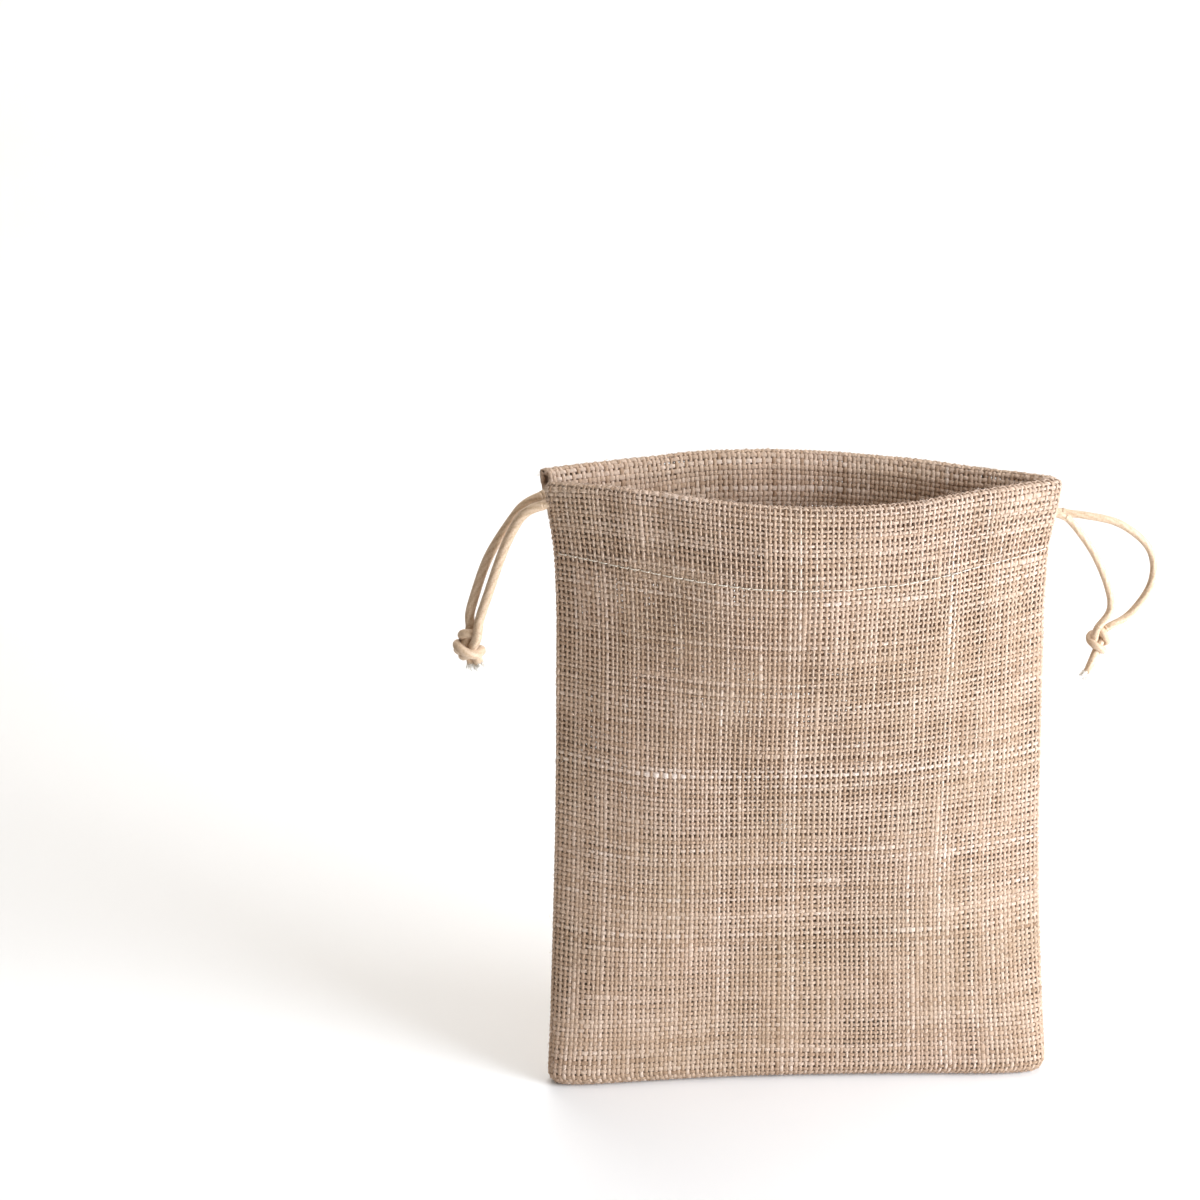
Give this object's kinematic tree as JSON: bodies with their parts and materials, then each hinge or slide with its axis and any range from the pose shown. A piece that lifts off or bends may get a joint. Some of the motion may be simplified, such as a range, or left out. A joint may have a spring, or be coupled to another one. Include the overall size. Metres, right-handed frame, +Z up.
{
  "type": "drawstring gift pouch",
  "caption": "Flat jute hessian pouch that stands open, with a stitched casing round the mouth and a knotted cotton drawcord looped out of each side.",
  "frame": {"origin": "middle of the base, on the surface the pouch stands on", "axes": "+Z up, +X along the width towards the right cord, front panel faces -Y"},
  "size_m": [0.2681, 0.0621, 0.25],
  "materials": {
    "jute_cloth": "open plain-weave natural jute hessian with uneven yarns",
    "hem_thread": "cream sewing thread",
    "seam_thread": "natural sewing thread, hidden inside",
    "cotton_cord": "smooth waxed cotton cord, light tan",
    "cord_core": "frayed undyed cotton core"
  },
  "bodies": {
    "pouch": {"front_panel": "jute_cloth", "back_panel": "jute_cloth", "front_hem_thread": "hem_thread", "back_hem_thread": "hem_thread", "left_side_seam_thread": "seam_thread", "right_side_seam_thread": "seam_thread", "bottom_seam_thread": "seam_thread", "left_side_overlock": "seam_thread", "right_side_overlock": "seam_thread", "bottom_overlock": "seam_thread"},
    "left_draw": {"left_drawcord": "cotton_cord"},
    "left_tail": {"left_cord_tail": "cotton_cord", "left_cord_knot": "cotton_cord", "left_cord_core": "cord_core"},
    "right_draw": {"right_drawcord": "cotton_cord"},
    "right_tail": {"right_cord_tail": "cotton_cord", "right_cord_knot": "cotton_cord", "right_cord_core": "cord_core"}
  },
  "joints": [
    {"name": "left_cord_pull", "type": "slide", "parent": "pouch", "child": "left_draw", "axis": [-1, 0, 0], "range_m": [0, 0.06], "deforming": ["front_panel", "back_panel"]},
    {"name": "right_cord_pull", "type": "slide", "parent": "pouch", "child": "right_draw", "axis": [1, 0, 0], "range_m": [0, 0.06], "deforming": ["front_panel", "back_panel"]},
    {"name": "left_tail_swing", "type": "hinge", "parent": "left_draw", "child": "left_tail", "pos_m": [-0.101, 0, 0.2435], "axis": [0, 1, 0], "range_deg": [-10, 62]},
    {"name": "right_tail_swing", "type": "hinge", "parent": "right_draw", "child": "right_tail", "pos_m": [0.101, 0, 0.23734], "axis": [0, -1, 0], "range_deg": [-6, 66]}
  ],
  "couplings": [
    {"joint": "right_cord_pull", "follows": "left_cord_pull", "ratio": 1}
  ]
}
